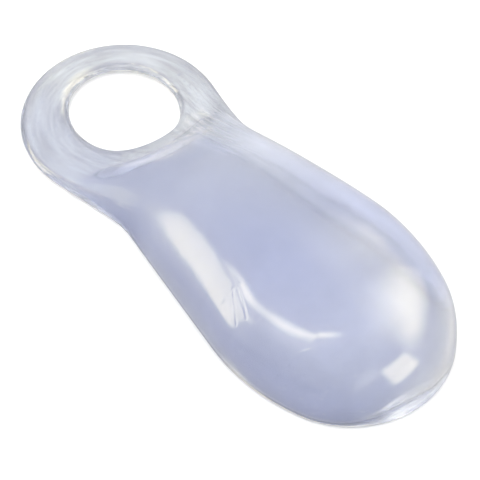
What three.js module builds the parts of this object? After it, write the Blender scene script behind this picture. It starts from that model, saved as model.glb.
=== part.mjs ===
// Bunion protector: one moulded piece of soft clear gel, with a toe ring, a neck and a hollow domed pad.
// Millimetres, +Z up. It lies dome up on its rim, with the ring towards -X and the pad's tip towards +X.
// The origin is midway along the length and width, on the surface that the rim lies on.
// The spine is the straight line on the plan from the ring's centre to the middle of the round tip.
// A station is a place on the spine, measured from the ring's centre.

import * as THREE from 'three';

// Outline seen from above, the same on both sides of the spine
const RING_RADIUS = 15.15;
const RING_SIDE_TAPER = 12.5; // degrees that the ring's sides close in towards the neck
const NECK_RADIUS = 14; // hollow curve between the ring's side and the pad's flank
const FLANK_TAPER = 8.7; // degrees that the pad's flanks open towards the belly
const BELLY_RADIUS = 32.9;
const BELLY_STATION = 45.6; // where the pad is widest
const PAD_HALF_WIDTH = 16.3;
const TIP_RADIUS = 15.1;

// Oval hole for the big toe, off the ring's centre so that the band is widest beside the second toe
const HOLE_STATION = -1.35;
const HOLE_SHIFT = 1.4;
const HOLE_HALF_LENGTH = 8.6;
const HOLE_HALF_WIDTH = 8.1;

// Heights over the spine: the outside at its crown, and the roof of the hollow below it
const SECTIONS = [
  { station: 0, crown: 2.25, hollow: 0 },
  { station: 3.5, crown: 2.6, hollow: 0 },
  { station: 7, crown: 3.8, hollow: 1.4 },
  { station: 13, crown: 7.6, hollow: 4.9 },
  { station: 20, crown: 11.1, hollow: 8.2 },
  { station: 30, crown: 13.8, hollow: 10.8 },
  { station: 41, crown: 15.3, hollow: 12.3 },
  { station: 52, crown: 15, hollow: 12 },
];

// Cross-sections: round edges on the ring, which turn into the pad's full shoulders along the neck
const NECK_START = 1.2; // stations
const NECK_END = 22.5;
const RING_EDGE = 1.7; // width of the ring's round edges
const ROUND = 2; // exponent of a round shoulder, and the larger the exponent the squarer
const PAD_SQUARENESS = 2.7;
const HOLLOW_SQUARENESS = 2.2;

// Rim that the pad lies on
const LIP_HEIGHT = 0.7;
const LIP_BEVEL = 0.25;
const RIM_WIDTH = 1.25;
const TIP_RIM_WIDTH = 3.6;
const TIP_RIM_SPREAD = 55; // degrees round from the tip over which the rim narrows
const RING_FLAT = 2.6; // where the flat underside of the ring starts, from its outline
const HOLE_WALL = 2.8; // solid gel between the toe hole and the hollow
const HOLE_WALL_SLOPE = 4; // length over which the hollow's roof rises from that wall

// Fineness of the mesh
const RING_STEPS = 16;
const TIP_STEPS = 11;
const TOP_STEPS = 12;
const BEVEL_STEPS = 2;
const HOLLOW_STEPS = 12;
const WELD = 1e4; // positions that agree to a ten-thousandth of a millimetre are one vertex

const GEL_COLOUR = 0xb9c0de;
const GEL_ROUGHNESS = 0.15;

const { clamp, degToRad, lerp, smoothstep } = THREE.MathUtils;

// Arcs and lines of the outline, for the half on the +Y side
const sideOut = new THREE.Vector2(Math.sin(degToRad(RING_SIDE_TAPER)), Math.cos(degToRad(RING_SIDE_TAPER)));
const flankOut = new THREE.Vector2(-Math.sin(degToRad(FLANK_TAPER)), Math.cos(degToRad(FLANK_TAPER)));
const bellyCentre = new THREE.Vector2(BELLY_STATION, PAD_HALF_WIDTH - BELLY_RADIUS);
const flankOffset = bellyCentre.dot(flankOut) + BELLY_RADIUS;
const neckCentre = crossing(sideOut, RING_RADIUS + NECK_RADIUS, flankOut, flankOffset + NECK_RADIUS);
const tipStation = BELLY_STATION + Math.sqrt((BELLY_RADIUS - TIP_RADIUS) ** 2 - bellyCentre.y ** 2);
const length = RING_RADIUS + tipStation + TIP_RADIUS;

// Stations where the outline changes from one arc or line to the next, and where the hole meets the spine
const holeEnd = HOLE_STATION + HOLE_HALF_LENGTH * Math.sqrt(1 - (HOLE_SHIFT / HOLE_HALF_WIDTH) ** 2);
const neckStart = spineBehind(neckCentre, sideOut);
const flankStart = spineBehind(neckCentre, flankOut);
const bellyStart = spineBehind(bellyCentre, flankOut);
const SPINE_RUNS = [
  { from: 0, to: holeEnd, steps: 8, closing: 2 },
  { from: holeEnd, to: neckStart, steps: 7, closing: 1 },
  { from: neckStart, to: flankStart, steps: 6, closing: 1 },
  { from: flankStart, to: bellyStart, steps: 12, closing: 1 },
  { from: bellyStart, to: tipStation, steps: 7, closing: 1 },
];

// Point where two lines cross, each given by its unit normal and its distance from the ring's centre
function crossing(normalA, offsetA, normalB, offsetB) {
  const turn = normalA.cross(normalB);
  return new THREE.Vector2(
    (offsetA * normalB.y - offsetB * normalA.y) / turn,
    (offsetB * normalA.x - offsetA * normalB.x) / turn,
  );
}

// Station where a line through the point, in the direction given, meets the spine
function spineBehind(point, direction) {
  return point.x - (point.y * direction.x) / direction.y;
}

// Smooth curve through one column of the section table: a cubic spline, level at both ends
function sectionCurve(column) {
  const at = SECTIONS.map((row) => row.station);
  const value = SECTIONS.map((row) => row[column]);
  const last = at.length - 1;
  const span = at.slice(1).map((a, i) => a - at[i]);
  const rise = span.map((s, i) => (value[i + 1] - value[i]) / s);
  const weight = [2 * span[0]];
  const pull = [6 * rise[0]];
  for (let i = 1; i < last; i += 1) {
    const share = span[i - 1] / weight[i - 1];
    weight.push(2 * (span[i - 1] + span[i]) - share * span[i - 1]);
    pull.push(6 * (rise[i] - rise[i - 1]) - share * pull[i - 1]);
  }
  const share = span[last - 1] / weight[last - 1];
  const bend = new Array(last + 1);
  bend[last] = (-6 * rise[last - 1] - share * pull[last - 1]) / (2 * span[last - 1] - share * span[last - 1]);
  for (let i = last - 1; i >= 0; i -= 1) {
    bend[i] = (pull[i] - span[i] * bend[i + 1]) / weight[i];
  }
  return (station) => {
    const s = clamp(station, at[0], at[last]);
    const i = clamp(at.findLastIndex((a) => a <= s), 0, last - 1);
    const before = s - at[i];
    const after = at[i + 1] - s;
    const line = (value[i] * after + value[i + 1] * before) / span[i];
    const pullBefore = bend[i] * after * (after ** 2 / span[i] - span[i]);
    const pullAfter = bend[i + 1] * before * (before ** 2 / span[i] - span[i]);
    return line + (pullBefore + pullAfter) / 6;
  };
}

const crownAt = sectionCurve('crown');
const hollowAt = sectionCurve('hollow');

// Height of a shoulder as a share of its full height, at a share of the way in from its edge
function shoulder(share, squareness) {
  return (1 - (1 - clamp(share, 0, 1)) ** squareness) ** (1 / squareness);
}

// Share of the way in that spaces points evenly along such a shoulder
function shoulderShare(step, squareness) {
  return 1 - Math.cos((step * Math.PI) / 2) ** (2 / squareness);
}

// Place on the outline whose square line inwards meets the spine at this station
function outlineAt(station) {
  const spine = new THREE.Vector2(station, 0);
  if (station <= neckStart) {
    return spine.addScaledVector(sideOut, RING_RADIUS - station * sideOut.x);
  }
  if (station <= flankStart) {
    return spine.sub(neckCentre).setLength(NECK_RADIUS).add(neckCentre);
  }
  if (station <= bellyStart) {
    return spine.addScaledVector(flankOut, flankOffset - station * flankOut.x);
  }
  return spine.sub(bellyCentre).setLength(BELLY_RADIUS).add(bellyCentre);
}

// Lines square to the outline of one half, each from its place on the outline to the spine
function crossLines() {
  const lines = [];
  const addArc = (station, radius, fromAngle, toAngle, steps) => {
    for (let i = 0; i < steps; i += 1) {
      const angle = lerp(fromAngle, toAngle, i / steps);
      const edge = new THREE.Vector2(station + radius * Math.cos(angle), radius * Math.sin(angle));
      lines.push({ station, edge });
    }
  };
  addArc(0, RING_RADIUS, Math.PI, sideOut.angle(), RING_STEPS);
  for (const run of SPINE_RUNS) {
    for (let i = 0; i < run.steps; i += 1) {
      const station = lerp(run.from, run.to, 1 - (1 - i / run.steps) ** run.closing);
      lines.push({ station, edge: outlineAt(station) });
    }
  }
  addArc(tipStation, TIP_RADIUS, outlineAt(tipStation).sub({ x: tipStation, y: 0 }).angle(), 0, TIP_STEPS);
  lines.push({ station: tipStation, edge: new THREE.Vector2(tipStation + TIP_RADIUS, 0) });
  return lines;
}

// Gap between a point and the toe hole's edge, below zero inside the hole
function holeGap(point) {
  const across = ((point.y - HOLE_SHIFT) * HOLE_HALF_LENGTH) / HOLE_HALF_WIDTH;
  return Math.hypot(point.x - HOLE_STATION, across) - HOLE_HALF_LENGTH;
}

// Distance along an inward line to the toe hole, or to the spine where the line misses the hole
function lineEnd(edge, inward, reach) {
  const oval = HOLE_HALF_LENGTH / HOLE_HALF_WIDTH;
  const from = new THREE.Vector2(edge.x - HOLE_STATION, (edge.y - HOLE_SHIFT) * oval);
  const way = new THREE.Vector2(inward.x, inward.y * oval);
  const half = from.dot(way);
  const inside = half * half - way.lengthSq() * (from.lengthSq() - HOLE_HALF_LENGTH ** 2);
  if (inside <= 0) {
    return reach;
  }
  const hit = (-half - Math.sqrt(inside)) / way.lengthSq();
  return hit > 0 ? Math.min(hit, reach) : reach;
}

// Sizes of the cross-section on one inward line, blended along the neck from the ring's to the pad's
function crossSection({ station, edge }, side) {
  const foot = new THREE.Vector2(edge.x, edge.y * side);
  const inward = new THREE.Vector2(station, 0).sub(foot);
  const reach = inward.length();
  inward.normalize();
  const pad = smoothstep(foot.x, NECK_START, NECK_END);
  const fromTip = Math.abs(Math.atan2(-inward.y, -inward.x)) / degToRad(TIP_RIM_SPREAD);
  const padRim = lerp(TIP_RIM_WIDTH, RIM_WIDTH, smoothstep(fromTip, 0, 1));
  return {
    foot,
    inward,
    reach,
    pad,
    end: lineEnd(foot, inward, reach),
    shoulderWidth: lerp(RING_EDGE, reach, pad),
    squareness: lerp(ROUND, PAD_SQUARENESS, pad),
    edgeHeight: lerp(SECTIONS[0].crown / 2, LIP_HEIGHT, pad),
    bevel: lerp(RING_EDGE, LIP_BEVEL, pad),
    rim: lerp(RING_FLAT, padRim, pad),
  };
}

// Point of the plan at a distance in from the outline
function planPoint(section, distance) {
  return section.foot.clone().addScaledVector(section.inward, distance);
}

function topPoint(section, distance) {
  const plan = planPoint(section, distance);
  const rounding = shoulder(holeGap(plan) / RING_EDGE, ROUND);
  const rise = shoulder(distance / section.shoulderWidth, section.squareness) * rounding;
  return [plan.x, plan.y, lerp(section.edgeHeight, crownAt(plan.x), rise)];
}

function undersidePoint(section, distance) {
  const plan = planPoint(section, distance);
  const gap = holeGap(plan);
  const drop = shoulder(distance / section.bevel, ROUND) * shoulder(gap / RING_EDGE, ROUND);
  const roof = shoulder((distance - section.rim) / (section.reach - section.rim), HOLLOW_SQUARENESS);
  const wall = smoothstep(gap - HOLE_WALL, 0, HOLE_WALL_SLOPE);
  const hollow = Math.max(hollowAt(plan.x), 0) * roof * wall;
  return [plan.x, plan.y, section.edgeHeight * (1 - drop) + hollow];
}

// Distances in from the outline at which the top is sampled, closest where it curves most
function topDistances(section) {
  return Array.from({ length: TOP_STEPS + 1 }, (_, i) => {
    const step = i / TOP_STEPS;
    const onRing = (1 - Math.cos(step * Math.PI)) / 2;
    const onPad = shoulderShare(step, PAD_SQUARENESS);
    return section.end * lerp(onRing, onPad, section.pad);
  });
}

// The same for the underside: the bevelled lip, the flat rim and the hollow
function undersideDistances(section) {
  const distances = [];
  for (let i = 0; i <= BEVEL_STEPS; i += 1) {
    distances.push(section.bevel * shoulderShare(i / BEVEL_STEPS, ROUND));
  }
  for (let i = 0; i <= HOLLOW_STEPS; i += 1) {
    const step = i / HOLLOW_STEPS;
    const onRing = Math.sin((step * Math.PI) / 2);
    const onPad = shoulderShare(step, HOLLOW_SQUARENESS);
    distances.push(lerp(section.rim, section.end, lerp(onRing, onPad, section.pad)));
  }
  return distances;
}

// Closed mesh of the whole piece: top and underside of both halves, welded where they meet
function gelGeometry() {
  const positions = [];
  const triangles = [];
  const known = new Map();
  const vertex = (point) => {
    const key = point.map((v) => Math.round(v * WELD)).join();
    if (!known.has(key)) {
      known.set(key, positions.length / 3);
      positions.push(...point);
    }
    return known.get(key);
  };
  const triangle = (a, b, c) => {
    if (a !== b && b !== c && c !== a) {
      triangles.push(a, b, c);
    }
  };
  const skin = (rows, flipped) => {
    for (let i = 1; i < rows.length; i += 1) {
      for (let j = 1; j < rows[i].length; j += 1) {
        const corners = [rows[i - 1][j - 1], rows[i][j - 1], rows[i][j], rows[i - 1][j]];
        const [a, b, c, d] = flipped ? corners.reverse() : corners;
        triangle(a, b, c);
        triangle(a, c, d);
      }
    }
  };
  const lines = crossLines();
  for (const side of [1, -1]) {
    const sections = lines.map((line) => crossSection(line, side));
    const top = sections.map((s) => topDistances(s).map((d) => vertex(topPoint(s, d))));
    const underside = sections.map((s) => undersideDistances(s).map((d) => vertex(undersidePoint(s, d))));
    skin(top, side > 0);
    skin(underside, side < 0);
  }
  const geometry = new THREE.BufferGeometry();
  geometry.setAttribute('position', new THREE.Float32BufferAttribute(positions, 3));
  geometry.setIndex(triangles);
  geometry.computeVertexNormals();
  return geometry;
}

const gel = new THREE.MeshStandardMaterial({ color: GEL_COLOUR, roughness: GEL_ROUGHNESS, metalness: 0 });
const shield = new THREE.Mesh(gelGeometry(), gel);
shield.name = 'gel_shield';
shield.position.x = RING_RADIUS - length / 2;

const bunionProtector = new THREE.Group();
bunionProtector.add(shield);

export default bunionProtector;
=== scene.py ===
"""Bunion protector: one moulded piece of clear lilac gel, lying dome up on a pale studio floor.

Metres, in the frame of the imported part: +X runs from the toe ring to the pad's tip and +Z is up.
The spine is the straight line on the plan from the ring's centre to the middle of the round tip.
A station is a place on the spine, measured from the ring's centre.
"""

import math
from collections import namedtuple

import bpy
import numpy as np
from bpy.props import FloatProperty, FloatVectorProperty, PointerProperty
from mathutils import Matrix, Quaternion, Vector


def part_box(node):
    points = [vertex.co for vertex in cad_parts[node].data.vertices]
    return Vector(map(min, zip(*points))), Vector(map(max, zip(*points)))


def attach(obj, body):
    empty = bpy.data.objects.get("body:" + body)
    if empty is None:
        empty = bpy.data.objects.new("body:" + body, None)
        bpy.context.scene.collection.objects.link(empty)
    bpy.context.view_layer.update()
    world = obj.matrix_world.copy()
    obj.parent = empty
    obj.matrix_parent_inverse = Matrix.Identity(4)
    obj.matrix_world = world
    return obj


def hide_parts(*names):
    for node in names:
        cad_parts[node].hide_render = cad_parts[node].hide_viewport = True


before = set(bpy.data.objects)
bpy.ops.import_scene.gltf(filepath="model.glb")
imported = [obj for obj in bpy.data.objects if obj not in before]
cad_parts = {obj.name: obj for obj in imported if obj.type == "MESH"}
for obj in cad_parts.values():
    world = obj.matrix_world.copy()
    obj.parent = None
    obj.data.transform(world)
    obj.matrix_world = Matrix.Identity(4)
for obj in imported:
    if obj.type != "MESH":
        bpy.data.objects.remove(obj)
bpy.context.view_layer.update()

bl_info = {
    "name": "Gel bunion protector",
    "version": (1, 0, 0),
    "blender": (4, 5, 0),
    "location": "View3D > Sidebar > Gel shield",
    "description": "Builds a clear gel bunion protector and the studio that it is shown in",
    "category": "Add Mesh",
}

NODE = "gel_shield"
BODY = "root"
MM = 0.001

# Values that the mesh keeps at its points for the gel's material
TINT_AND_SHADE = "tint"
SATIN = "satin"
GLOSS = "gloss"
EDGE_SHADE = "line"
ALONG = "along"
INSET = "inset"
SKIN = "skin"
FLOW = "flow"

# Heights over the spine in millimetres: the outside at its crown, and the roof of the hollow below it
Section = namedtuple("Section", "station crown hollow")
SECTIONS = (
    Section(0, 2.25, 0),
    Section(3.5, 2.6, 0),
    Section(7, 3.8, 1.4),
    Section(13, 7.6, 4.9),
    Section(20, 11.1, 8.2),
    Section(30, 13.8, 10.8),
    Section(41, 15.3, 12.3),
    Section(52, 15, 12),
)

# Shoulders: the larger the exponent, the squarer
ROUND = 2
PAD_SQUARENESS = 2.7
HOLLOW_SQUARENESS = 2.2

# Fineness of the mesh: steps along the outline, and then across the shell
RING_STEPS = 64
HOLE_STEPS = 30
BRIDGE_STEPS = 26
NECK_STEPS = 24
FLANK_STEPS = 46
BELLY_STEPS = 28
TIP_STEPS = 40
TOP_STEPS = 40
BEVEL_STEPS = 5
HOLLOW_STEPS = 40
HOLE_CLOSING = 2  # lines crowd together towards the end of the toe hole
WELD = 1e-7  # points closer than this are one
CORNER_LOOP = 0.06 * MM  # distance of the loops that keep the rim's corners crisp

# Where the gel turns from clear to lilac, with the painted shade of the hollow beneath the pad: behind a
# bowed line across the neck, and up from the lip
NECK_LINE = 13.9 * MM
NECK_LINE_SIDE = 3 * MM
NECK_LINE_ROUND = 1.5 * MM
NECK_LINE_SLOPE = 0.48
NECK_LINE_FADE = (-0.8 * MM, 0.9 * MM)
NECK_HOLLOW_FADE = (-4 * MM, 1 * MM)
LIP_FADE_START = 0.1  # shares of the rim's width
LIP_FADE_END = 0.6
TIP_FADE_END = 1.6
RIM_FADE = (0.15, 0.5)
# Painted light: the lilac fades along the far side of the neck and pad, which shows lighter
FAR_LIGHT_BAND = (2.8 * MM, 4.6 * MM)  # clear far side of the neck
FAR_LIGHT_BAND_END = (16 * MM, 42 * MM)
FAR_LIGHT_BAND_SHARE = 0.95
# Painted light: the far flank gets less of the painted shade than the near one
FAR_LIT_FLANK = (0, 6 * MM)  # lighter far flank of the pad
FAR_LIGHTNESS = 0.7
# Painted shade: the lilac is fullest over the middle of the pad and lighter away from it
MIDDLE_SHADE_PLACE = (41 * MM, -5 * MM)  # where the lilac is fullest, on the plan
MIDDLE_SHADE_REACH = (15 * MM, 7.5 * MM)
MIDDLE_SHADE_SHARE = 0.4
RING_NEAR = (2 * MM, 8 * MM)  # slightly lilac near side of the ring
RING_TINT = 0.14
# Painted shade: grey line a little way in from the ring's edges, where its round edges show dark
EDGE_SHADE_RISE = (0.2 * MM, 0.5 * MM)  # grey line a little way in from the ring's edges
EDGE_SHADE_FALL = (0.5 * MM, 0.9 * MM)

# Painted shade, where the lilac deepens: down the flanks in shares of their height, low in the hollow,
# and past the neck
FLANK_SHADE = (0.2, 0.7)
LOW_HOLLOW_SHADE = (0, 3 * MM)
NECK_SHADE = (6 * MM, 22 * MM)

# Places on the tint's ramp, which starts with clear gel at 0
PAD_TINT = 0.5
# The deepest place on the ramp holds the painted shade of the flanks
DEEP_SHADE_TINT = 1

# Flow lines in the clear gel: they fade out past the ring, set in again at the tip, and hide in lilac gel
FLOW_END = (14 * MM, 28 * MM)
FLOW_TIP = (56 * MM, 64 * MM)
FLOW_TINT = 0.3
FLOW_SHADES = (0.45, 1.45)

# Where the skin turns satin at the neck and glossy again on the pad, and how satin the pad stays
NECK_SATIN = (0, 5 * MM)
PAD_GLOSS = (17 * MM, 24 * MM)
PAD_SATIN = 0.6

# Noise in the gel and in its skin, and how it varies the roughness
CLOUD_DETAIL = 7
CLOUD_ROUGHNESS = 0.7
FINE_DETAIL = 2
ROUGHNESS_SPREAD = (0.8, 1.2)

# Softboxes round the object, as seen from it: directions and roll in degrees, sizes in metres.
# A mirrored one only shows as a highlight on the gel, and the other one lights the scene.
# The cut is the share of the width that is lost at the lower edge, from the left
SOFTBOX_DISTANCE = 0.8
Softbox = namedtuple("Softbox", "name azimuth elevation roll width height radiance softness mirrored cut")
SOFTBOXES = (
    Softbox("top_panel", 0, 88, 0, 1.6, 1.6, 1.5, 0.01, False, 0),
    Softbox("left_strip", -50, 5.2, -15, 0.78, 0.64, 4.1, 0.19, True, 0.8),
    Softbox("arm_low", -38, 35, 0, 0.44, 0.25, 6.5, 0.8, True, 0),
    Softbox("arm_rise", -16.5, 44, 61, 0.4, 0.25, 6.5, 0.9, True, 0),
    Softbox("arm_top", 0.4, 62.2, 56, 0.58, 0.12, 7.5, 0.8, True, 0),
    Softbox("back_panel", 164, 45, 0, 1.5, 1.1, 5.2, 0.95, True, 0),
    Softbox("back_lobe", 198, 36, 0, 0.34, 0.34, 1.2, 1, True, 0),
    Softbox("low_lobe", 128, 29, 0, 0.7, 0.75, 3.4, 1, True, 0),
    Softbox("right_panel", 99, 0, 20, 0.5, 0.54, 5.6, 0.35, True, 0),
    Softbox("right_wall", 143, -20, 0, 1.8, 1.4, 0.8, 0.7, True, 0),
    Softbox("rim_glow", 15, -74, 0, 1.2, 0.26, 2.2, 0.5, True, 0),
    Softbox("ring_side", -113, -5, 0, 0.22, 0.18, 3.4, 1, True, 0),
)

# Marks in the skin, in millimetres on the plan: two ends, the width, and the depth of the groove
Mark = namedtuple("Mark", "start_x start_y end_x end_y width depth")
MARKS = (
    Mark(15.1, -14.2, 15.8, -11.6, 0.3, 0.025),
    Mark(14.6, -11.3, 20.0, -13.8, 0.3, 0.03),
    Mark(15.4, -12.5, 19.0, -14.8, 0.25, 0.02),
    Mark(28.4, -12.8, 30.1, -10.9, 0.2, 0.04),
    Mark(36.6, -8.1, 37.0, -7.1, 0.2, 0.05),
)

IMAGE_PIXELS = 480  # side of the square image
FLOOR_ROUGHNESS = 0.9
ALL_BOUNCES = 24
GLOSSY_BOUNCES = 12
CLEAR_BOUNCES = 20


def length(name, description, millimetres):
    """A size in the user interface, given in millimetres."""
    return FloatProperty(
        name=name, description=description, default=millimetres * MM, unit="LENGTH", precision=5
    )


def angle(name, description, degrees):
    """An angle in the user interface, given in degrees."""
    return FloatProperty(
        name=name, description=description, default=math.radians(degrees), subtype="ANGLE"
    )


def number(name, description, default, lowest=0):
    """A plain number, such as a strength or a count to a metre."""
    return FloatProperty(name=name, description=description, default=default, min=lowest)


def share(name, description, default):
    """A number from nothing to all."""
    return FloatProperty(
        name=name, description=description, default=default, min=0, max=1, subtype="FACTOR"
    )


def colour(name, description, default):
    """A colour with linear red, green and blue."""
    return FloatVectorProperty(
        name=name, description=description, default=default, size=3, min=0, max=1, subtype="COLOR"
    )


class ShieldSizes(bpy.types.PropertyGroup):
    """Sizes of the gel shield, the same as those of its CAD solid."""

    ring_radius: length("Ring radius", "Outside of the toe ring", 15.15)
    ring_side_taper: angle("Ring side taper", "How far the ring's sides close in to the neck", 12.5)
    neck_radius: length("Neck radius", "Hollow curve between ring and pad", 14)
    flank_taper: angle("Flank taper", "How far the pad's flanks open towards the belly", 8.7)
    belly_radius: length("Belly radius", "Curve of the pad's sides where it is widest", 32.9)
    belly_station: length("Belly station", "Where the pad is widest", 45.6)
    pad_half_width: length("Pad half width", "From the spine to the pad's widest place", 16.3)
    tip_radius: length("Tip radius", "Round end of the pad", 15.1)
    hole_station: length("Hole station", "Middle of the toe hole along the spine", -1.35)
    hole_shift: length("Hole shift", "Middle of the toe hole beside the spine", 1.4)
    hole_half_length: length("Hole half length", "Half of the toe hole along the spine", 8.6)
    hole_half_width: length("Hole half width", "Half of the toe hole across the spine", 8.1)
    neck_start: length("Neck start", "Station where the ring's section starts to change", 1.2)
    neck_end: length("Neck end", "Station where the pad's section is complete", 22.5)
    ring_edge: length("Ring edge", "Width of the ring's round edges", 1.7)
    ring_flat: length("Ring flat", "Where the ring's flat underside starts", 2.6)
    lip_height: length("Lip height", "Height of the edge round the pad", 0.7)
    lip_bevel: length("Lip bevel", "Width of the round below that edge", 0.25)
    rim_width: length("Rim width", "Solid rim under the pad's flanks", 1.25)
    tip_rim_width: length("Tip rim width", "Solid rim under the pad's tip", 3.6)
    tip_rim_spread: angle("Tip rim spread", "Turn from the tip over which the rim narrows", 55)
    hole_wall: length("Hole wall", "Solid gel between the toe hole and the hollow", 2.8)
    hole_wall_slope: length("Hole wall slope", "Length over which the hollow rises there", 4)


class GelFinish(bpy.types.PropertyGroup):
    """Look of the gel."""

    clear_tint: colour("Clear tint", "Gel of the ring and of the lip", (0.725, 0.745, 0.79))
    # Painted shade: the pad's lilac is darker than the ring's clear gel for the shade in the hollow
    # beneath it
    pad_tint_and_shade: colour("Pad tint", "Gel of the domed pad", (0.487, 0.521, 0.68))
    # Painted shade: the flanks' deeper lilac stands in for the shade that falls on them
    shaded_flank_tint: colour("Deep tint", "Gel of the pad's flanks", (0.46, 0.497, 0.775))
    # Painted shade: the grey line where the ring's round edges show dark
    edge_shade_tint: colour("Line tint", "Thin grey line along the ring's edges", (0.42, 0.43, 0.5))
    absorbed: colour("Depth colour", "What is left of white light in deep gel", (0.62, 0.68, 0.95))
    depth_density: number("Depth density", "How fast deep gel takes on its colour", 45)
    clearness: share("Clearness", "Share of the light that passes instead of scattering", 0.8)
    ior: number("Refraction", "Index of refraction", 1.34, lowest=1)
    glassy_roughness: share("Glassy roughness", "Roughness of the glassy ring", 0.06)
    satin_roughness: share("Satin roughness", "Roughness of the neck's satin skin", 0.22)
    gloss_ior: number("Gloss", "Refraction of the glossy skin", 1.5, lowest=1)
    gloss_roughness: share("Gloss roughness", "Roughness of the glossy skin", 0.14)
    cloud_scale: number("Cloud scale", "Clouds in the gel, to a metre", 130)
    cloud_share: share("Cloud share", "How much darker the darkest clouds are than the lightest", 0.24)
    speck_scale: number("Speck scale", "Places for specks, to a metre", 1200)
    speck_size: share("Speck size", "Size of a speck as a share of its place", 0.22)
    speck_share: share("Speck share", "Share of the places that hold a speck", 0.5)
    speck_tint: colour("Speck tint", "Gel at a speck", (0.6, 0.635, 0.76))
    speck_height: length("Speck height", "How far specks stand out", 0.03)
    wave_scale: number("Wave scale", "Soft waves of the skin, to a metre", 160)
    wave_height: length("Wave height", "Height of the soft waves", 0.06)
    grain_scale: number("Grain scale", "Fine grain of the skin, to a metre", 1600)
    grain_height: length("Grain height", "Height of the fine grain", 0.004)
    flow_scale: number("Flow scale", "Flow lines across the clear gel, to a metre", 1200)
    flow_stretch: share("Flow stretch", "Their scale along the edge, as a share", 0.1)
    flow_height: length("Flow height", "Height of the flow lines", 0.16)


class StudioSetup(bpy.types.PropertyGroup):
    """Floor, light and camera."""

    floor_colour: colour("Floor colour", "Paint of the floor", (0.9, 0.9, 0.9))
    floor_size: FloatProperty(
        name="Floor size", description="Side of the square floor", default=6, unit="LENGTH"
    )
    floor_gap: length("Floor gap", "Film of air under the gel", 0.04)
    mirrored_colour: colour("Mirrored colour", "Light of the mirrored softboxes", (1, 0.91, 0.56))
    horizon_strength: number("Horizon strength", "Brightness of the room at the horizon", 0.68)
    zenith_strength: number("Zenith strength", "Brightness of the room overhead", 0.9)
    camera_azimuth: angle("Camera azimuth", "Turn of the camera round the object", 50.74)
    camera_elevation: angle("Camera elevation", "Height of the camera above the horizon", 50.99)
    camera_distance: length("Camera distance", "From the camera to the point it looks at", 468.2)
    pixels_per_metre: number("Image scale", "Pixels to a metre at the object's middle", 6942)
    middle: FloatVectorProperty(
        name="Middle", description="Point of the object that places it in the image",
        default=(1.01 * MM, 0, 4 * MM), size=3, unit="LENGTH",
    )
    middle_pixel: FloatVectorProperty(
        name="Middle pixel", description="Where that point shows, from the image's top left",
        default=(237.13, 217.51), size=2,
    )


def smoothstep(value, low, high):
    """Ease from 0 at low to 1 at high."""
    t = np.clip((value - low) / (high - low), 0, 1)
    return t * t * (3 - 2 * t)


def lerp(a, b, t):
    """The value a share t of the way from a to b."""
    return a + (b - a) * t


def shoulder(t, squareness):
    """Height of a shoulder as a share of its full height, at a share of the way in from its edge."""
    return (1 - (1 - np.clip(t, 0, 1)) ** squareness) ** (1 / squareness)


def shoulder_share(step, squareness):
    """Share of the way in that spaces points evenly along such a shoulder."""
    return 1 - np.cos(step * np.pi / 2) ** (2 / squareness)


def section_curve(column):
    """Cubic spline through one column of the section table, level at both ends."""
    at = np.array([row.station for row in SECTIONS]) * MM
    value = np.array([getattr(row, column) for row in SECTIONS]) * MM
    span = np.diff(at)
    slope = np.concatenate([[0], np.diff(value) / span, [0]])
    steps = np.concatenate([[0], span, [0]])
    stiffness = np.diag(2 * (steps[:-1] + steps[1:])) + np.diag(span, 1) + np.diag(span, -1)
    bend = np.linalg.solve(stiffness, 6 * np.diff(slope))

    def height(station):
        s = np.clip(station, at[0], at[-1])
        i = np.clip(np.searchsorted(at, s, side="right") - 1, 0, len(span) - 1)
        before = s - at[i]
        after = at[i + 1] - s
        line = (value[i] * after + value[i + 1] * before) / span[i]
        pull_before = bend[i] * after * (after**2 / span[i] - span[i])
        pull_after = bend[i + 1] * before * (before**2 / span[i] - span[i])
        return line + (pull_before + pull_after) / 6

    return height


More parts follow.
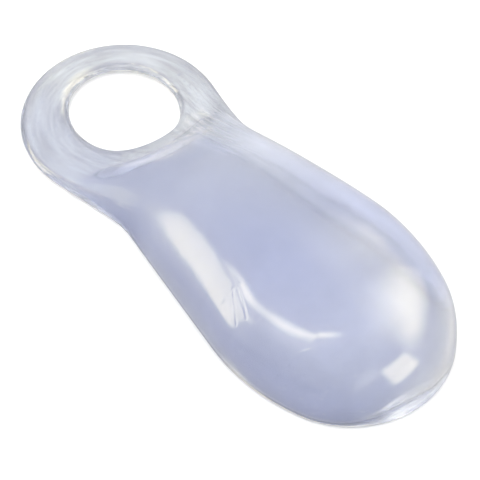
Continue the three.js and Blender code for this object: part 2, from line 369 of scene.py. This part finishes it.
class Outline:
    """Arcs and lines of the shield's outline on the plan, for the half on the +Y side."""

    def __init__(self, sizes):
        self.sizes = sizes
        ring, flank = sizes.ring_side_taper, sizes.flank_taper
        self.side_out = np.array([math.sin(ring), math.cos(ring)])
        self.flank_out = np.array([-math.sin(flank), math.cos(flank)])
        self.belly_centre = np.array([sizes.belly_station, sizes.pad_half_width - sizes.belly_radius])
        self.flank_offset = self.belly_centre @ self.flank_out + sizes.belly_radius
        self.neck_centre = np.linalg.solve(
            np.array([self.side_out, self.flank_out]),
            np.array([sizes.ring_radius, self.flank_offset]) + sizes.neck_radius,
        )
        tip_run = (sizes.belly_radius - sizes.tip_radius) ** 2 - self.belly_centre[1] ** 2
        self.tip_station = sizes.belly_station + math.sqrt(tip_run)
        oval = math.sqrt(1 - (sizes.hole_shift / sizes.hole_half_width) ** 2)
        self.hole_end = sizes.hole_station + sizes.hole_half_length * oval
        self.neck_start = self.spine_behind(self.neck_centre, self.side_out)
        self.flank_start = self.spine_behind(self.neck_centre, self.flank_out)
        self.belly_start = self.spine_behind(self.belly_centre, self.flank_out)

    @staticmethod
    def spine_behind(point, direction):
        """Station where a line through the point, in the direction given, meets the spine."""
        return point[0] - point[1] * direction[0] / direction[1]

    def foot(self, station):
        """Place on the outline whose square line inwards meets the spine at this station."""
        sizes = self.sizes
        spine = np.array([station, 0.0])
        if station <= self.neck_start:
            return spine + self.side_out * (sizes.ring_radius - station * self.side_out[0])
        if station <= self.flank_start:
            out = spine - self.neck_centre
            return self.neck_centre + out * (sizes.neck_radius / np.linalg.norm(out))
        if station <= self.belly_start:
            return spine + self.flank_out * (self.flank_offset - station * self.flank_out[0])
        out = spine - self.belly_centre
        return self.belly_centre + out * (sizes.belly_radius / np.linalg.norm(out))

    def cross_lines(self):
        """Stations and feet of the lines square to the outline, from the ring's end to the tip."""
        sizes = self.sizes
        lines = []

        def add_arc(station, radius, start, stop, steps):
            for turn in np.linspace(start, stop, steps, endpoint=False):
                lines.append((station, (station + radius * math.cos(turn), radius * math.sin(turn))))

        def add_run(start, stop, steps, closing=1):
            for step in np.linspace(0, 1, steps, endpoint=False):
                station = lerp(start, stop, 1 - (1 - step) ** closing)
                lines.append((station, self.foot(station)))

        add_arc(0, sizes.ring_radius, math.pi, math.atan2(self.side_out[1], self.side_out[0]), RING_STEPS)
        add_run(0, self.hole_end, HOLE_STEPS, HOLE_CLOSING)
        add_run(self.hole_end, self.neck_start, BRIDGE_STEPS)
        add_run(self.neck_start, self.flank_start, NECK_STEPS)
        add_run(self.flank_start, self.belly_start, FLANK_STEPS)
        add_run(self.belly_start, self.tip_station, BELLY_STEPS)
        tip_out = self.foot(self.tip_station) - np.array([self.tip_station, 0])
        add_arc(self.tip_station, sizes.tip_radius, math.atan2(tip_out[1], tip_out[0]), 0, TIP_STEPS)
        lines.append((self.tip_station, (self.tip_station + sizes.tip_radius, 0)))
        stations, feet = zip(*lines)
        return np.array(stations), np.array(feet, float)


class ShieldHalf:
    """Top and underside of one half of the shield, worked out on the lines square to its outline."""

    def __init__(self, sizes, outline, side):
        self.sizes = sizes
        self.crown_at = section_curve("crown")
        self.roof_at = section_curve("hollow")
        stations, feet = outline.cross_lines()
        self.foot = feet * [1, side]
        inward = np.stack([stations, np.zeros_like(stations)], axis=1) - self.foot
        self.reach = np.linalg.norm(inward, axis=1)
        self.inward = inward / self.reach[:, None]
        steps = np.linalg.norm(np.diff(self.foot, axis=0), axis=1)
        self.along = np.concatenate([[0], np.cumsum(steps)])
        self.pad = smoothstep(self.foot[:, 0], sizes.neck_start, sizes.neck_end)
        from_tip = np.abs(np.arctan2(-self.inward[:, 1], -self.inward[:, 0])) / sizes.tip_rim_spread
        self.flank = smoothstep(from_tip, 0, 1)
        pad_rim = lerp(sizes.tip_rim_width, sizes.rim_width, self.flank)
        self.end = self.line_end()
        self.shoulder_width = lerp(sizes.ring_edge, self.reach, self.pad)
        self.squareness = lerp(ROUND, PAD_SQUARENESS, self.pad)
        self.edge_height = lerp(SECTIONS[0].crown * MM / 2, sizes.lip_height, self.pad)
        self.bevel = lerp(sizes.ring_edge, sizes.lip_bevel, self.pad)
        self.rim = lerp(sizes.ring_flat, pad_rim, self.pad)

    def line_end(self):
        """Distance along each inward line to the toe hole, or to the spine where the line misses it."""
        sizes = self.sizes
        oval = np.array([1, sizes.hole_half_length / sizes.hole_half_width])
        start = (self.foot - [sizes.hole_station, sizes.hole_shift]) * oval
        way = self.inward * oval
        half = np.sum(start * way, axis=1)
        way_squared = np.sum(way * way, axis=1)
        inside = half**2 - way_squared * (np.sum(start * start, axis=1) - sizes.hole_half_length**2)
        hit = (-half - np.sqrt(np.maximum(inside, 0))) / way_squared
        return np.where((inside > 0) & (hit > 0), np.minimum(hit, self.reach), self.reach)

    def hole_gap(self, plan):
        """Gap between points and the toe hole's edge, below zero inside the hole."""
        sizes = self.sizes
        oval = sizes.hole_half_length / sizes.hole_half_width
        across = (plan[..., 1] - sizes.hole_shift) * oval
        return np.hypot(plan[..., 0] - sizes.hole_station, across) - sizes.hole_half_length

    def plan(self, distances):
        """Points of the plan at distances in from the outline."""
        return self.foot[:, None] + self.inward[:, None] * distances[..., None]

    def hollow(self, plan, distances):
        """Height of the hollow's roof over points of the plan."""
        sizes = self.sizes
        rim = self.rim[:, None]
        roof = shoulder((distances - rim) / (self.reach[:, None] - rim), HOLLOW_SQUARENESS)
        wall = smoothstep(self.hole_gap(plan) - sizes.hole_wall, 0, sizes.hole_wall_slope)
        return np.maximum(self.roof_at(plan[..., 0]), 0) * roof * wall

    def tint(self, plan, past_lip, flank_shade, neck_fade):
        """Tint of the gel: nearly clear on the ring, clear along the lip, lilac on the pad with painted
        shade of its hollow, painted shade in its middle and down its flanks, and painted light on its far
        side.
        """
        x = plan[..., 0]
        y = plan[..., 1]
        # Behind this line the lilac sets in, with the painted shade of the hollow
        line = NECK_LINE - NECK_LINE_SLOPE * np.hypot(y - NECK_LINE_SIDE, NECK_LINE_ROUND)
        past_line = smoothstep(x - line, *neck_fade)
        # Painted light: the lilac fades along the far band
        far = smoothstep(y, *FAR_LIGHT_BAND) * (1 - smoothstep(x, *FAR_LIGHT_BAND_END))
        # Painted light: less of the flank's painted shade on the far side
        near = 1 - FAR_LIGHTNESS * smoothstep(y, *FAR_LIT_FLANK)
        # Painted shade: deeper lilac down the flanks, low in the hollow and past the neck, less of it on
        # the far side
        depth = flank_shade * self.flank[:, None] * smoothstep(x, *NECK_SHADE) * near
        # Painted shade, fullest over the middle of the pad
        from_middle_shade = (plan - np.array(MIDDLE_SHADE_PLACE)) / np.array(MIDDLE_SHADE_REACH)
        middle_shade = np.exp(-np.sum(from_middle_shade**2, axis=-1))
        light_shade_fullness = (1 - FAR_LIGHT_BAND_SHARE * far) * (1 - MIDDLE_SHADE_SHARE * (1 - middle_shade))
        ring = RING_TINT * smoothstep(-y, *RING_NEAR)
        return lerp(ring, past_lip * light_shade_fullness * lerp(PAD_TINT, DEEP_SHADE_TINT, depth), past_line)

    def lip_fade(self, height):
        """How far the lilac has set in at a height above the lip, later at the tip than on the flanks."""
        end = lerp(TIP_FADE_END, LIP_FADE_END, self.flank[:, None])
        return smoothstep(height / self.rim[:, None], LIP_FADE_START, end)

    def layers(self, plan, distances, tint, skin):
        """Values that the gel's material reads at each point. Skin is 1 on the outside and 0 below."""
        x = plan[..., 0]
        edge = np.minimum(distances, np.abs(self.hole_gap(plan)))
        # Painted shade: grey line a little way in from the ring's edges
        line = smoothstep(edge, *EDGE_SHADE_RISE) * (1 - smoothstep(edge, *EDGE_SHADE_FALL))
        neck = smoothstep(x, *NECK_SATIN)
        pad = smoothstep(x, *PAD_GLOSS)
        flow = lerp(1, smoothstep(x, *FLOW_TIP), smoothstep(x, *FLOW_END))
        return {
            TINT_AND_SHADE: tint,
            SATIN: neck * lerp(1, PAD_SATIN, pad),
            GLOSS: lerp(1, pad, neck),
            EDGE_SHADE: line * (1 - self.pad[:, None]),
            ALONG: np.broadcast_to(self.along[:, None], distances.shape),
            INSET: distances,
            SKIN: np.full_like(distances, skin),
            FLOW: flow * np.clip(1 - tint / FLOW_TINT, 0, 1),
        }

    def top(self):
        """Rows of points over the top, and what the material reads there."""
        step = np.linspace(0, 1, TOP_STEPS + 1)
        on_ring = (1 - np.cos(step * np.pi)) / 2
        on_pad = shoulder_share(step, PAD_SQUARENESS)
        distances = self.end[:, None] * lerp(on_ring, on_pad, self.pad[:, None])
        plan = self.plan(distances)
        rounding = shoulder(self.hole_gap(plan) / self.sizes.ring_edge, ROUND)
        rise = shoulder(distances / self.shoulder_width[:, None], self.squareness[:, None]) * rounding
        height = lerp(self.edge_height[:, None], self.crown_at(plan[..., 0]), rise)
        past_lip = self.lip_fade(height - self.edge_height[:, None])
        # Painted shade grows down the flank
        tint = self.tint(plan, past_lip, 1 - smoothstep(rise, *FLANK_SHADE), NECK_LINE_FADE)
        return np.dstack([plan, height]), self.layers(plan, distances, tint, skin=1)

    def underside(self):
        """The same over the lip's round, the flat rim and the hollow."""
        round_steps = shoulder_share(np.linspace(0, 1, BEVEL_STEPS + 1), ROUND)
        step = np.linspace(0, 1, HOLLOW_STEPS + 1)
        on_ring = np.sin(step * np.pi / 2)
        on_pad = shoulder_share(step, HOLLOW_SQUARENESS)
        inner = lerp(on_ring, on_pad, self.pad[:, None])
        distances = np.hstack([
            self.bevel[:, None] * round_steps,
            (self.bevel + CORNER_LOOP)[:, None],
            (self.rim - CORNER_LOOP)[:, None],
            lerp(self.rim[:, None], self.end[:, None], inner),
        ])
        plan = self.plan(distances)
        rounding = shoulder(self.hole_gap(plan) / self.sizes.ring_edge, ROUND)
        drop = shoulder(distances / self.bevel[:, None], ROUND) * rounding
        hollow = self.hollow(plan, distances)
        height = self.edge_height[:, None] * (1 - drop) + hollow
        across_rim = smoothstep(distances / self.rim[:, None], *RIM_FADE)
        past_lip = lerp(self.lip_fade(hollow), across_rim, self.flank[:, None])
        # Painted shade grows low in the hollow
        tint = self.tint(plan, past_lip, 1 - smoothstep(hollow, *LOW_HOLLOW_SHADE), NECK_HOLLOW_FADE)
        return np.dstack([plan, height]), self.layers(plan, distances, tint, skin=0)


def grid_quads(rows, columns, first, flipped):
    """Quads of a grid of points whose first index is given."""
    index = first + np.arange(rows * columns).reshape(rows, columns)
    corners = [index[:-1, :-1], index[1:, :-1], index[1:, 1:], index[:-1, 1:]]
    if flipped:
        corners.reverse()
    return np.stack([c.ravel() for c in corners], axis=1)


def shield_mesh(sizes):
    """Closed mesh of the whole shield: top and underside of both halves, welded where they meet."""
    outline = Outline(sizes)
    points, layers, quads = [], [], []
    count = 0
    for side in (1, -1):
        half = ShieldHalf(sizes, outline, side)
        for (grid, values), flipped in ((half.top(), side > 0), (half.underside(), side < 0)):
            points.append(grid.reshape(-1, 3))
            layers.append(values)
            quads.append(grid_quads(*grid.shape[:2], count, flipped))
            count += len(points[-1])
    points = np.concatenate(points)
    keys = np.round(points / WELD).astype(np.int64)
    _, kept, welded = np.unique(keys, axis=0, return_index=True, return_inverse=True)
    faces = []
    for quad in welded.ravel()[np.concatenate(quads)]:
        corners = list(dict.fromkeys(quad.tolist()))
        if len(corners) > 2:
            faces.append(corners)
    ring_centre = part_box(NODE)[0].x + sizes.ring_radius
    mesh = bpy.data.meshes.new(NODE)
    mesh.from_pydata(points[kept] + [ring_centre, 0, 0], [], faces)
    for name in layers[0]:
        values = np.concatenate([layer[name].ravel() for layer in layers])[kept]
        attribute = mesh.attributes.new(name, "FLOAT", "POINT")
        attribute.data.foreach_set("value", values.astype(np.float32))
    mesh.validate()
    mesh.shade_smooth()
    return mesh


class NodeKit:
    """Short ways to add nodes to a tree."""

    def __init__(self, tree):
        self.tree = tree
        self.tree.nodes.clear()

    def add(self, kind, settings=None, **inputs):
        """Node of a kind, with its settings, its values and the sockets that feed it."""
        node = self.tree.nodes.new("ShaderNode" + kind)
        for name, value in (settings or {}).items():
            setattr(node, name, value)
        for name, value in inputs.items():
            self.feed(node.inputs[name.replace("_", " ")], value)
        return node

    def feed(self, socket, value):
        """Link a socket to another one, or give it a plain value."""
        if isinstance(value, bpy.types.NodeSocket):
            self.tree.links.new(value, socket)
        else:
            socket.default_value = value

    def math(self, operation, *values):
        """Result of a calculation with numbers."""
        node = self.add("Math", {"operation": operation})
        for socket, value in zip(node.inputs, values):
            self.feed(socket, value)
        return node.outputs["Value"]

    def ramp(self, factor, *stops):
        """Colour read off a ramp whose stops are places and colours."""
        node = self.add("ValToRGB", Fac=factor)
        elements = node.color_ramp.elements
        while len(elements) < len(stops):
            elements.new(1)
        for element, (place, stop) in zip(elements, stops):
            element.position = place
            element.color = (*stop, 1)
        return node.outputs["Color"]

    def spread(self, value, low, high):
        """A share from 0 to 1 spread over a range."""
        node = self.add("MapRange", Value=value, To_Min=low, To_Max=high)
        return node.outputs["Result"]

    def ease(self, value, reach, start=0, stop=1):
        """Ease from one number to another as a value goes from 0 to a reach."""
        node = self.add(
            "MapRange", {"interpolation_type": "SMOOTHSTEP"},
            Value=value, From_Max=reach, To_Min=start, To_Max=stop,
        )
        return node.outputs["Result"]

    def edge_fade(self, way, softness):
        """Fade towards both edges of something, from the share of the way across it."""
        from_middle = self.math("ABSOLUTE", self.math("MULTIPLY_ADD", way, 2, -1))
        return self.ease(self.math("SUBTRACT", 1, from_middle), softness)

    def noise(self, place, scale, detail, roughness=0.5):
        """Soft noise from 0 to 1."""
        node = self.add("TexNoise", Vector=place, Scale=scale, Detail=detail, Roughness=roughness)
        return node.outputs["Fac"]

    def mark(self, place, mark):
        """Groove along a straight line on the plan: 1 along its middle, 0 beside it."""
        start = Vector((mark.start_x, mark.start_y, 0)) * MM
        way = Vector((mark.end_x, mark.end_y, 0)) * MM - start
        flat = self.vector("MULTIPLY_ADD", place, (1, 1, 0), -start)
        passed = self.math("MULTIPLY", self.vector("DOT_PRODUCT", flat, way), 1 / way.length_squared)
        passed.node.use_clamp = True
        nearest = self.add("VectorMath", {"operation": "SCALE"}, Vector=way, Scale=passed)
        away = self.vector("DISTANCE", flat, nearest.outputs["Vector"])
        return self.ease(away, mark.width * MM, 1, 0)

    def vector(self, operation, *values):
        """Result of a calculation with vectors."""
        node = self.add("VectorMath", {"operation": operation})
        for socket, value in zip(node.inputs, values):
            self.feed(socket, value)
        return next(socket for socket in node.outputs if socket.enabled)

    def colour_mix(self, factor, first, second, blend="MIX"):
        """Two colours mixed by a factor."""
        node = self.add("Mix", {"data_type": "RGBA", "blend_type": blend})
        colours = [socket for socket in node.inputs if socket.type == "RGBA"]
        self.feed(node.inputs["Factor"], factor)
        self.feed(colours[0], first)
        self.feed(colours[1], second)
        return next(socket for socket in node.outputs if socket.type == "RGBA")

    def bump(self, height, distance, below=None):
        """Normal of relief over another normal."""
        node = self.add("Bump", Height=height, Distance=distance)
        if below is not None:
            self.feed(node.inputs["Normal"], below)
        return node.outputs["Normal"]

    def attribute(self, name):
        """Value kept at the mesh's points."""
        node = self.add("Attribute", {"attribute_name": name})
        return node.outputs["Fac"]


def gel_material(finish):
    """Clear lilac gel with a moulded skin: clouds, fine specks, soft waves, flow lines and grooves; its
    colour also holds painted shade and light.
    """
    material = bpy.data.materials.new("clear_lilac_gel")
    material.use_nodes = True
    kit = NodeKit(material.node_tree)
    place = kit.add("TexCoord").outputs["Object"]

    # Tint ramp: the gel's clear and lilac colour, with painted shade over the hollow and down the flanks,
    # and painted light on the far side
    stops = ((0, finish.clear_tint), (PAD_TINT, finish.pad_tint_and_shade), (DEEP_SHADE_TINT, finish.shaded_flank_tint))
    shaded_tint = kit.ramp(kit.attribute(TINT_AND_SHADE), *stops)
    clouds = kit.noise(place, finish.cloud_scale, CLOUD_DETAIL, CLOUD_ROUGHNESS)
    shade = kit.spread(clouds, 1 + finish.cloud_share / 2, 1 - finish.cloud_share / 2)
    cloudy = kit.colour_mix(1, shaded_tint, shade, "MULTIPLY")
    cells = kit.add("TexVoronoi", Vector=place, Scale=finish.speck_scale)
    chosen = kit.add("SeparateColor", Color=cells.outputs["Color"]).outputs["Red"]
    near = kit.math("LESS_THAN", cells.outputs["Distance"], finish.speck_size)
    kept = kit.math("LESS_THAN", chosen, finish.speck_share)
    speck = kit.math("MULTIPLY", near, kept)
    speckled = kit.colour_mix(speck, cloudy, (*finish.speck_tint, 1))
    along = kit.math("MULTIPLY", kit.attribute(ALONG), finish.flow_stretch)
    across = kit.add("CombineXYZ", X=along, Y=kit.attribute(INSET))
    flow = kit.noise(across.outputs["Vector"], finish.flow_scale, FINE_DETAIL)
    streaks = kit.attribute(FLOW)
    streaked = kit.colour_mix(streaks, speckled, kit.spread(flow, *FLOW_SHADES), "MULTIPLY")
    # Painted shade: grey line along the ring's edges
    edge_shaded = kit.colour_mix(kit.attribute(EDGE_SHADE), streaked, (*finish.edge_shade_tint, 1))

    roughness = kit.spread(kit.attribute(SATIN), finish.glassy_roughness, finish.satin_roughness)
    uneven = kit.math("MULTIPLY", roughness, kit.spread(clouds, *ROUGHNESS_SPREAD))

    normal = kit.bump(kit.noise(place, finish.wave_scale, FINE_DETAIL), finish.wave_height)
    normal = kit.bump(kit.noise(place, finish.grain_scale, FINE_DETAIL), finish.grain_height, normal)
    normal = kit.bump(speck, finish.speck_height, normal)
    normal = kit.bump(kit.math("MULTIPLY", flow, streaks), finish.flow_height, normal)
    grooves = 0
    for mark in MARKS:
        grooves = kit.math("MULTIPLY_ADD", kit.mark(place, mark), -mark.depth * MM, grooves)
    normal = kit.bump(kit.math("MULTIPLY", grooves, kit.attribute(SKIN)), 1, normal)

    gel = kit.add(
        "BsdfPrincipled",
        Base_Color=edge_shaded,
        Roughness=uneven,
        IOR=finish.ior,
        Transmission_Weight=finish.clearness,
        Coat_Weight=kit.attribute(GLOSS),
        Coat_IOR=finish.gloss_ior,
        Coat_Roughness=finish.gloss_roughness,
        Coat_Normal=normal,
        Normal=normal,
    )
    depth = kit.add("VolumeAbsorption", Color=(*finish.absorbed, 1), Density=finish.depth_density)
    kit.add("OutputMaterial", Surface=gel.outputs["BSDF"], Volume=depth.outputs["Volume"])
    return material


class GELSHIELD_OT_shield(bpy.types.Operator):
    """Build the gel shield in place of its CAD solid"""

    bl_idname = "gelshield.shield"
    bl_label = "Gel shield"

    def execute(self, context):
        mesh = shield_mesh(context.scene.gel_shield_sizes)
        mesh.materials.append(gel_material(context.scene.gel_shield_finish))
        shield = bpy.data.objects.new("gel_shield_clear", mesh)
        context.scene.collection.objects.link(shield)
        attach(shield, BODY)
        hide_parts(NODE)
        return {"FINISHED"}


def direction(azimuth, elevation):
    """Unit vector from the object: azimuth 0 points to -Y and 90 degrees to +X."""
    return Vector((
        math.sin(azimuth) * math.cos(elevation),
        -math.cos(azimuth) * math.cos(elevation),
        math.sin(elevation),
    ))


def add_floor(scene, studio):
    """Wide pale floor just below the gel."""
    half = studio.floor_size / 2
    mesh = bpy.data.meshes.new("studio_floor")
    corners = [(x * half, y * half, -studio.floor_gap) for x, y in ((-1, -1), (1, -1), (1, 1), (-1, 1))]
    mesh.from_pydata(corners, [], [(0, 1, 2, 3)])
    paint = bpy.data.materials.new("pale_floor")
    paint.use_nodes = True
    shader = paint.node_tree.nodes["Principled BSDF"]
    shader.inputs["Base Color"].default_value = (*studio.floor_colour, 1)
    shader.inputs["Roughness"].default_value = FLOOR_ROUGHNESS
    shader.inputs["Specular IOR Level"].default_value = 0
    mesh.materials.append(paint)
    floor = bpy.data.objects.new("studio_floor", mesh)
    floor.visible_glossy = False
    scene.collection.objects.link(floor)


def add_softbox(scene, box, mirrored_colour):
    """Rectangular lamp that faces the object."""
    lamp = bpy.data.lights.new(box.name, "AREA")
    lamp.shape = "RECTANGLE"
    lamp.size = box.width
    lamp.size_y = box.height
    lamp.energy = box.radiance * box.width * box.height * math.pi
    if box.mirrored:
        lamp.color = mirrored_colour
    lamp.use_nodes = True
    kit = NodeKit(lamp.node_tree)
    across = kit.add("SeparateXYZ", Vector=kit.add("NewGeometry").outputs["Parametric"])
    lost = kit.math("MULTIPLY_ADD", across.outputs["Y"], -box.cut, box.cut)
    way = kit.add("MapRange", Value=across.outputs["X"], From_Min=lost).outputs["Result"]
    glow = kit.math(
        "MULTIPLY", kit.edge_fade(way, box.softness), kit.edge_fade(across.outputs["Y"], box.softness)
    )
    light = kit.add("Emission", Strength=glow)
    kit.add("OutputLight", Surface=light.outputs["Emission"])
    lamp_object = bpy.data.objects.new(box.name, lamp)
    away = direction(math.radians(box.azimuth), math.radians(box.elevation))
    facing = away.to_track_quat("Z", "Y") @ Quaternion((0, 0, 1), math.radians(box.roll))
    lamp_object.rotation_euler = facing.to_euler()
    lamp_object.location = away * SOFTBOX_DISTANCE
    lamp_object.visible_camera = False
    lamp_object.visible_glossy = box.mirrored
    lamp_object.visible_diffuse = not box.mirrored
    scene.collection.objects.link(lamp_object)


def add_room(scene, studio):
    """Soft light from the room, brighter overhead than at the horizon."""
    world = bpy.data.worlds.new("studio_room")
    world.use_nodes = True
    kit = NodeKit(world.node_tree)
    way = kit.add("SeparateXYZ", Vector=kit.add("TexCoord").outputs["Generated"])
    strength = kit.spread(way.outputs["Z"], studio.horizon_strength, studio.zenith_strength)
    room = kit.add("Background", Color=(1, 1, 1, 1), Strength=strength)
    kit.add("OutputWorld", Surface=room.outputs["Background"])
    scene.world = world


def add_camera(scene, studio):
    """Camera that shows the object at the photograph's angle, size and place."""
    back = direction(studio.camera_azimuth, studio.camera_elevation)
    right = Vector((math.cos(studio.camera_azimuth), math.sin(studio.camera_azimuth), 0))
    up = back.cross(right)
    across, down = (IMAGE_PIXELS / 2 - p for p in studio.middle_pixel)
    aim = Vector(studio.middle) + (right * across - up * down) / studio.pixels_per_metre
    data = bpy.data.cameras.new("studio_camera")
    data.lens = data.sensor_width * studio.pixels_per_metre * studio.camera_distance / IMAGE_PIXELS
    camera = bpy.data.objects.new("studio_camera", data)
    camera.matrix_world = Matrix.LocRotScale(
        aim + back * studio.camera_distance, Matrix((right, up, back)).transposed(), None
    )
    scene.collection.objects.link(camera)
    scene.camera = camera


class GELSHIELD_OT_stage(bpy.types.Operator):
    """Add the floor, the light and the camera"""

    bl_idname = "gelshield.stage"
    bl_label = "Studio stage"

    def execute(self, context):
        scene = context.scene
        studio = scene.gel_shield_studio
        add_floor(scene, studio)
        for box in SOFTBOXES:
            add_softbox(scene, box, studio.mirrored_colour)
        add_room(scene, studio)
        add_camera(scene, studio)
        scene.view_settings.view_transform = "Standard"
        scene.cycles.max_bounces = ALL_BOUNCES
        scene.cycles.glossy_bounces = GLOSSY_BOUNCES
        scene.cycles.transmission_bounces = CLEAR_BOUNCES
        return {"FINISHED"}


class GELSHIELD_PT_panel(bpy.types.Panel):
    """Lists the builders and their settings"""

    bl_idname = "GELSHIELD_PT_panel"
    bl_label = "Gel shield"
    bl_space_type = "VIEW_3D"
    bl_region_type = "UI"
    bl_category = "Gel shield"

    def draw(self, context):
        for operator, group in (
            (GELSHIELD_OT_shield, context.scene.gel_shield_sizes),
            (GELSHIELD_OT_shield, context.scene.gel_shield_finish),
            (GELSHIELD_OT_stage, context.scene.gel_shield_studio),
        ):
            box = self.layout.box()
            box.operator(operator.bl_idname)
            for name in group.bl_rna.properties.keys():
                if name not in ("rna_type", "name"):
                    box.prop(group, name)


GROUPS = {
    "gel_shield_sizes": ShieldSizes,
    "gel_shield_finish": GelFinish,
    "gel_shield_studio": StudioSetup,
}
CLASSES = (*GROUPS.values(), GELSHIELD_OT_shield, GELSHIELD_OT_stage, GELSHIELD_PT_panel)


def register():
    for cls in CLASSES:
        bpy.utils.register_class(cls)
    for name, group in GROUPS.items():
        setattr(bpy.types.Scene, name, PointerProperty(type=group))


def unregister():
    for name in GROUPS:
        delattr(bpy.types.Scene, name)
    for cls in reversed(CLASSES):
        bpy.utils.unregister_class(cls)


def main():
    register()
    bpy.ops.gelshield.shield()
    bpy.ops.gelshield.stage()


if __name__ == "__main__":
    main()
